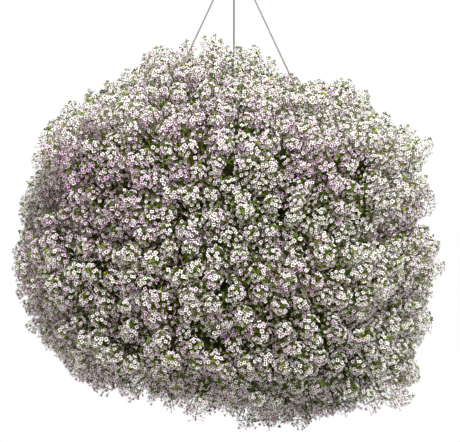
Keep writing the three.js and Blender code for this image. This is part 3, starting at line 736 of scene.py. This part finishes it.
def spray_tree():
    """The corners of the frame's sprays, and the number of the spray that each is on."""
    corners, owners = [], []
    for k, name in enumerate(SPRAYS):
        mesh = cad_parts[name].data
        found = np.empty(len(mesh.vertices) * 3)
        mesh.vertices.foreach_get("co", found)
        corners += list(found.reshape(-1, 3))
        owners += [k] * len(mesh.vertices)
    tree = KDTree(len(corners))
    for k, corner in enumerate(corners):
        tree.insert(corner, k)
    tree.balance()
    return tree, owners


def nearest_sprays(points):
    """The number of the frame's spray that each point is nearest to."""
    tree, owners = spray_tree()
    return np.array([owners[tree.find(point)[1]] for point in points])


def make_sprays():
    """One piece for each of the frame's sprays, with the heads that are nearest to it."""
    rng = np.random.default_rng(77)
    full = place_heads(FULL, FULL_COUNT, 12, 0)
    low = full.directions[:, 2] < LOW_DIRECTION
    sorts = [full.chosen(~low), full.chosen(low, LOW), filling_heads(full)]
    owners = [nearest_sprays(heads.tips - heads.axes * 0.02) for heads in sorts]
    for k, name in enumerate(SPRAYS):
        soup = Soup()
        for heads, owner in zip(sorts, owners):
            own = heads.chosen(owner == k)
            if own.count:
                for add in (add_florets, add_buds, add_pods, add_stems):
                    add(soup, own, rng)
        soup.piece("heads_" + name[-2:], [PETAL, GREEN], "petals", [name])


# ---------------- leafy inside of each plant


def sector_shell(plant, soup):
    """The mass of stems and litter of one plant, hollow round the pot, coloured near black as painted shade.
    """
    middle = WIRE_AZIMUTHS[0] + (plant + 0.5) * 2 * math.pi / 3
    polars = np.radians(np.linspace(SHELL_TOP, SHELL_BOTTOM, SHELL_STEPS))
    cover_height = (LIP_Z + LIP_COVER_HEIGHT - BALL_CENTRE[2]) / np.cos(np.minimum(polars, 1.5))
    lip_cover = np.minimum(LIP_COVER_RADIUS / np.maximum(np.sin(polars), 1e-3),
                           np.where(polars < 1.5, cover_height, 9))
    # The hollow's wall, from its mouth under the pot up round the pot and its lip to the soil.
    hollow = [(MOUTH_RADIUS, POT_BASE_Z - MOUTH_DEPTH), (MOUTH_RADIUS, POT_BASE_Z - 0.03),
              (POT_BASE_RADIUS + 0.009, POT_BASE_Z - 0.007),
              (POT_RIM_RADIUS + 0.008, LIP_Z - 0.021), (LIP_OUTER_RADIUS + 0.008, LIP_Z - 0.015),
              (LIP_OUTER_RADIUS + 0.008, LIP_Z + 0.007), (POT_RIM_RADIUS - 0.009, LIP_Z + 0.007),
              (POT_RIM_RADIUS - 0.012, SOIL_Z + 0.009), (0.006, SOIL_Z + 0.009)]
    hollow_r, hollow_z = np.array(hollow).T
    above = np.concatenate([polars < 1.9, hollow_z > LIP_Z - 0.03])
    # The plants stand apart where the wires pass between them, and close up below the lip.
    half_turn = math.pi / 3 - np.where(above, GAP_ABOVE, GAP_BELOW)
    loops = []
    for share in np.linspace(-1, 1, SHELL_TURNS):
        azimuth = middle + share * half_turn
        flat = np.stack([np.cos(azimuth), np.sin(azimuth), np.zeros(len(azimuth))], axis=1)
        directions = np.sin(polars)[:, None] * flat[:SHELL_STEPS] + np.cos(polars)[:, None] * UP
        radius = ball_radius(directions) - foliage_depth(directions)
        radius = np.where(polars < math.pi / 2, np.maximum(radius, lip_cover), radius)
        outside = BALL_CENTRE + directions * radius[:, None]
        outside += directions * (0.004 * waves(outside, 0.03, 5) + 0.002 * waves(outside, 0.012, 6))[:, None]
        inside = flat[SHELL_STEPS:] * hollow_r[:, None] + UP * hollow_z[:, None]
        loops.append(np.concatenate([outside, inside]))
    loops = np.array(loops)
    rows, n, _ = loops.shape
    faces, uvs = [], []
    for i in range(rows - 1):
        for j in range(n):
            a, b = i * n + j, i * n + (j + 1) % n
            faces += [(a, b, b + n), (a, b + n, a + n)]
            low, high, left, right = j / n, (j + 1) / n, i / rows, (i + 1) / rows
            uvs += [[(left, low), (left, high), (right, high)], [(left, low), (right, high), (right, low)]]
    soup.add(loops.reshape(1, -1, 3), np.array(faces), np.array(uvs)[None], 2, True)
    # The two flat ends, each a strip between the outer curve and the hollow's steps.
    for row, flip in [(0, False), (rows - 1, True)]:
        outer, inner = list(range(SHELL_STEPS)), list(range(n - 1, SHELL_STEPS - 1, -1))
        ends = []
        i = j = 0
        while i < len(outer) - 1 or j < len(inner) - 1:
            behind = (i + 1) / len(outer) <= (j + 1) / len(inner)
            ahead = j >= len(inner) - 1 or (i < len(outer) - 1 and behind)
            third = outer[i + 1] if ahead else inner[j + 1]
            ends.append((outer[i], third, inner[j]) if not flip else (third, outer[i], inner[j]))
            i, j = (i + 1, j) if ahead else (i, j + 1)
        end_uv = [[(0.2, 0.2), (0.3, 0.2), (0.25, 0.3)]] * len(ends)
        soup.add(loops[row : row + 1], np.array(ends), np.array(end_uv)[None], 2)


def add_leaves(soup, plant, rng):
    """Dark leaves and bare twigs that stand out of the mass, in three layers."""
    for layer, (height, count, long, width) in enumerate(LEAF_LAYERS):
        directions = spread_directions(count, 90 + layer, LOWEST_LEAF, 3)
        azimuth = np.arctan2(directions[:, 1], directions[:, 0]) - WIRE_AZIMUTHS[0]
        own = ((azimuth % (2 * math.pi)) // (2 * math.pi / 3)).astype(int) == plant
        directions = directions[own]
        k = len(directions)
        radius = ball_radius(directions) - foliage_depth(directions) + height
        root = BALL_CENTRE + directions * radius[:, None]
        way = unit(directions + rng.normal(0, 0.7, directions.shape) + 0.35 * UP)
        spin = facing_out(way, directions)
        shape = np.stack([np.full(k, width), np.full(k, width), long * rng.uniform(0.8, 1.2, k)], axis=1) * MM
        stamp(soup, LEAF, root, spin, shape, rng.uniform(0.5, 0.85, k), 1, smooth=True)
        if layer == TWIG_LAYER:
            twig = unit(directions + rng.normal(0, 0.4, directions.shape))
            foot, bend = root - directions * height * 1.2, root + twig * 0.022
            path = np.stack([foot, bend, root + twig * 0.04 + UP * 0.006], axis=1)
            tubes(soup, path, np.array([1.0, 0.7, 0.35]) * MM, 3, rng.uniform(0.5, 0.9, k), 1)


def make_foliage():
    rng = np.random.default_rng(3)
    for plant in range(3):
        soup = Soup()
        sector_shell(plant, soup)
        add_leaves(soup, plant, rng)
        middle = WIRE_AZIMUTHS[0] + (plant + 0.5) * 2 * math.pi / 3
        at = level(middle) * CROWN_RING
        crown = np.array([[at + UP * (SOIL_Z + rise) for rise in (0.02, 0, -0.034)]])
        tubes(soup, crown, np.array([0.0055, 0.006, 0.0045]), 9, np.array([0.88]), 1)
        soup.piece(f"plant_{plant + 1}", [PETAL, GREEN, INSIDE_SHADE], "leaf_green", [f"foliage_{plant + 1}"])


# ---------------- pot, soil and hanger


def turned_piece(name, profile, segments, material, slot, nodes, wobble=None):
    """A body turned about the Z axis from a profile of (radius, height) that starts and ends on the axis."""
    points, faces = [], []
    for r, z in profile[1:-1]:
        points += [(r * x, r * y, z) for x, y, _ in circle(segments)]
    points = np.array(points)
    if wobble:
        points[:, 2] += wobble(points)
    rows = len(profile) - 2
    for i in range(rows - 1):
        for j in range(segments):
            k = (j + 1) % segments
            faces.append((i * segments + j, i * segments + k, (i + 1) * segments + k, (i + 1) * segments + j))
    faces.append(tuple(range(segments))[::-1])
    faces.append(tuple((rows - 1) * segments + j for j in range(segments)))
    mesh = bpy.data.meshes.new(name)
    mesh.from_pydata(points.tolist(), [], faces)
    mesh.polygons.foreach_set("use_smooth", [True] * len(mesh.polygons))
    mesh.materials.append(material)
    made = place(bpy.data.objects.new(name, mesh), slot, nodes)
    made.data.set_sharp_from_angle(angle=math.radians(38))
    return made


def make_pot():
    foot, lip, wall = POT_FOOT, LIP_Z - LIP_THICKNESS, POT_WALL
    rim, base = POT_RIM_RADIUS, POT_BASE_RADIUS
    outside = [(rim + (base - rim) * t, lip + (POT_BASE_Z - lip) * t) for t in (0.95, 0.7, 0.4, 0.12, 0.03)]
    profile = [
        (0, POT_BASE_Z + foot), (base - 0.014, POT_BASE_Z + foot), (base - 0.012, POT_BASE_Z + 0.001),
        (base - 0.010, POT_BASE_Z), (base - 0.002, POT_BASE_Z), (base, POT_BASE_Z + 0.002), *outside,
        (rim + 0.002, lip), (LIP_OUTER_RADIUS - 0.001, lip), (LIP_OUTER_RADIUS, lip + 0.0008),
        (LIP_OUTER_RADIUS, LIP_Z - 0.0008), (LIP_OUTER_RADIUS - 0.001, LIP_Z), (rim - wall + 0.001, LIP_Z),
        (rim - wall, LIP_Z - 0.001), (base - wall, POT_BASE_Z + foot + wall), (0, POT_BASE_Z + foot + wall),
    ]
    pot = turned_piece("pot_shell", profile, 96, POT, "pot_plastic", ["pot"])
    cutters = [(LIP_HOLE_RADIUS, a, LIP_Z, 0.0026, 0.012) for a in WIRE_AZIMUTHS]
    cutters += [(base * 0.55, a, POT_BASE_Z + foot, 0.005, 0.02) for a in np.radians([45, 135, 225, 315])]
    for r, a, z, radius, depth in cutters:
        bpy.ops.mesh.primitive_cylinder_add(
            vertices=20, radius=radius, depth=depth, location=(r * math.cos(a), r * math.sin(a), z))
        drill = bpy.context.object
        cut = pot.modifiers.new("hole", "BOOLEAN")
        cut.object, cut.operation, cut.solver = drill, "DIFFERENCE", "EXACT"
        bpy.context.view_layer.objects.active = pot
        bpy.ops.object.modifier_apply(modifier="hole")
        bpy.data.objects.remove(drill)


def make_soil():
    inner_floor = POT_BASE_Z + POT_FOOT + POT_WALL
    low = inner_floor + CLEARANCE

    def wall_at(z):
        """The soil's radius at a height, a little inside the pot's sloping wall."""
        share = (z - inner_floor) / (LIP_Z - inner_floor)
        return POT_BASE_RADIUS + (POT_RIM_RADIUS - POT_BASE_RADIUS) * share - POT_WALL - 0.0009

    def crumbs(points):
        return np.where(points[:, 2] > SOIL_Z - 0.01, 0.0012 * waves(points, 0.012, 9) - 0.001, 0)

    top = [(r, SOIL_Z - 0.003 * (r / 0.13) ** 4) for r in np.linspace(wall_at(SOIL_Z - 0.003), 0.004, 24)]
    profile = [(0, low), (wall_at(low), low), *top, (0, SOIL_Z)]
    turned_piece("soil_fill", profile, 72, SOIL, "soil", ["soil"], crumbs)


def wire_piece(name, line, radius, nodes):
    """A round wire with closed ends along a line of points in one plane."""
    curve = bpy.data.curves.new(name, "CURVE")
    curve.dimensions = "3D"
    curve.bevel_depth = radius
    curve.bevel_resolution = 3
    curve.use_fill_caps = True
    spline = curve.splines.new("POLY")
    spline.points.add(len(line) - 1)
    for point, at in zip(spline.points, line):
        point.co = (*at, 1)
    bent = bpy.data.objects.new(name, curve)
    bpy.context.scene.collection.objects.link(bent)
    mesh = bpy.data.meshes.new_from_object(bent.evaluated_get(bpy.context.evaluated_depsgraph_get()))
    bpy.data.objects.remove(bent)
    mesh.name = name
    mesh.materials.clear()
    mesh.materials.append(WIRE)
    mesh.polygons.foreach_set("use_smooth", [True] * len(mesh.polygons))
    place(bpy.data.objects.new(name, mesh), "wire_steel", nodes)
    mesh.set_sharp_from_angle(angle=math.radians(50))


def make_hanger():
    reach, centre = 0.0158, -0.014
    turns = np.radians(np.linspace(-38, 214, 40))
    bend = [(reach * math.cos(a), 0, centre + reach * math.sin(a)) for a in turns]
    shank = [(-0.0095, 0, -0.0277), (-0.0055, 0, -0.0304), (-0.002, 0, -0.0325), (0, 0, -0.0355),
             (0, 0, -0.042)]
    wire_piece("hook_wire", [*bend, *shank], HOOK_WIRE_RADIUS, ["hanger_hook"])
    beyond_lip = LIP_OUTER_RADIUS + WIRE_RADIUS + CLEARANCE
    radius = (beyond_lip - LIP_HOLE_RADIUS) / 2
    bend_z = LIP_Z - LIP_THICKNESS - WIRE_RADIUS - CLEARANCE
    for k, azimuth in enumerate(WIRE_AZIMUTHS):
        out = level(azimuth)
        curl = [out * (LIP_HOLE_RADIUS + radius + radius * math.cos(a))
                + UP * (bend_z + 0.7 * radius * math.sin(a)) for a in np.linspace(math.pi, 2 * math.pi, 13)]
        line = [out * WIRE_TOP_RING + UP * -0.043, out * WIRE_TOP_RING + UP * -0.0525,
                out * (WIRE_TOP_RING + 0.0015) + UP * -0.0555,
                out * (LIP_HOLE_RADIUS - 0.001) + UP * (LIP_Z + 0.0035), *curl,
                out * beyond_lip + UP * (LIP_Z + 0.004)]
        wire_piece(f"wire_{k + 1}", line, WIRE_RADIUS, [f"hanger_wire_{k + 1}"])
    height = FERRULE_TOP_Z - FERRULE_BOTTOM_Z
    shape = [(0.0, 0.0060), (0.04, 0.0068), (0.3, 0.0068), (0.42, 0.0060), (0.52, 0.0060), (0.62, 0.0063),
             (0.95, 0.0057), (1.0, 0.0050)]
    side = [(r, FERRULE_BOTTOM_Z + t * height) for t, r in shape]
    profile = [(0, FERRULE_BOTTOM_Z), *side, (0, FERRULE_TOP_Z)]
    turned_piece("ferrule", profile, 40, WIRE, "wire_steel", ["hanger_ferrule"])


# ---------------- stage, light and camera


def make_stage():
    """A pale round floor, well below the ball."""
    floor_z, radius, segments = -1.35, 2.2, 96
    ring = [(radius * x, radius * y, floor_z) for x, y, _ in circle(segments)]
    mesh = bpy.data.meshes.new("floor")
    mesh.from_pydata(ring, [], [tuple(range(segments))])
    nodes = Nodes("floor_paper", 0.9)
    pale = nodes.ramp(nodes.noise(3.0), [(0.3, (0.62, 0.62, 0.61)), (0.7, (0.66, 0.66, 0.65))])
    nodes.link(pale, "Base Color")
    mesh.materials.append(nodes.material)
    floor = bpy.data.objects.new("floor", mesh)
    bpy.context.scene.collection.objects.link(floor)


def area_light(name, at, size, power):
    """A round lamp that faces the ball."""
    light = bpy.data.lights.new(name, "AREA")
    light.shape = "DISK"
    light.size = size
    light.energy = power
    made = bpy.data.objects.new(name, light)
    made.location = at
    made.rotation_euler = (Vector(BALL_CENTRE) - Vector(at)).to_track_quat("-Z", "Y").to_euler()
    bpy.context.scene.collection.objects.link(made)


def make_light():
    """A white world for the camera's own rays, and a dimmer one that is darker from below for the light."""
    world = bpy.data.worlds.new("studio")
    world.use_nodes = True
    tree = world.node_tree
    seen = add_node(tree, "ShaderNodeLightPath").outputs["Is Camera Ray"]
    where = add_node(tree, "ShaderNodeTexCoord").outputs["Generated"]
    height = add_node(tree, "ShaderNodeSeparateXYZ", {"Vector": where}).outputs["Z"]
    on_ramp = add_node(tree, "ShaderNodeMapRange", {"Value": height, "From Min": -0.7, "From Max": 0.7})
    ramp = add_node(tree, "ShaderNodeValToRGB", {"Fac": on_ramp.outputs["Result"]})
    ramp.color_ramp.elements[0].color = (*LIGHT_BELOW, 1)
    ramp.color_ramp.elements[1].color = (*LIGHT_ABOVE, 1)
    values = {"Factor": seen, "A": ramp.outputs["Color"], "B": (1, 1, 1, 1)}
    colour = add_node(tree, "ShaderNodeMix", values, data_type="RGBA")
    tree.links.new(colour.outputs["Result"], tree.nodes["Background"].inputs["Color"])
    bpy.context.scene.world = world
    area_light("key", (0.8, -2.1, 1.95), size=1.1, power=206)
    area_light("fill", (-2.0, -1.4, 0.9), size=1.8, power=28)
    area_light("back", (-0.6, 2.3, 1.2), size=1.8, power=50)
    bpy.context.scene.view_settings.view_transform = "Standard"
    bpy.context.scene.view_settings.look = "None"


def make_camera():
    distance, elevation, width_seen = 2.4, math.radians(5), 0.644
    target = Vector((-0.0056, 0, -0.4146))
    back = Vector((0, -math.cos(elevation), math.sin(elevation)))
    camera = bpy.data.cameras.new("camera")
    camera.sensor_width = 36
    camera.lens = camera.sensor_width * distance / width_seen
    made = bpy.data.objects.new("camera", camera)
    made.location = target + back * distance
    made.rotation_euler = (-back).to_track_quat("-Z", "Y").to_euler()
    bpy.context.scene.collection.objects.link(made)
    bpy.context.scene.camera = made


make_hanger()
make_pot()
make_soil()
make_foliage()
make_sprays()
make_stage()
make_light()
make_camera()
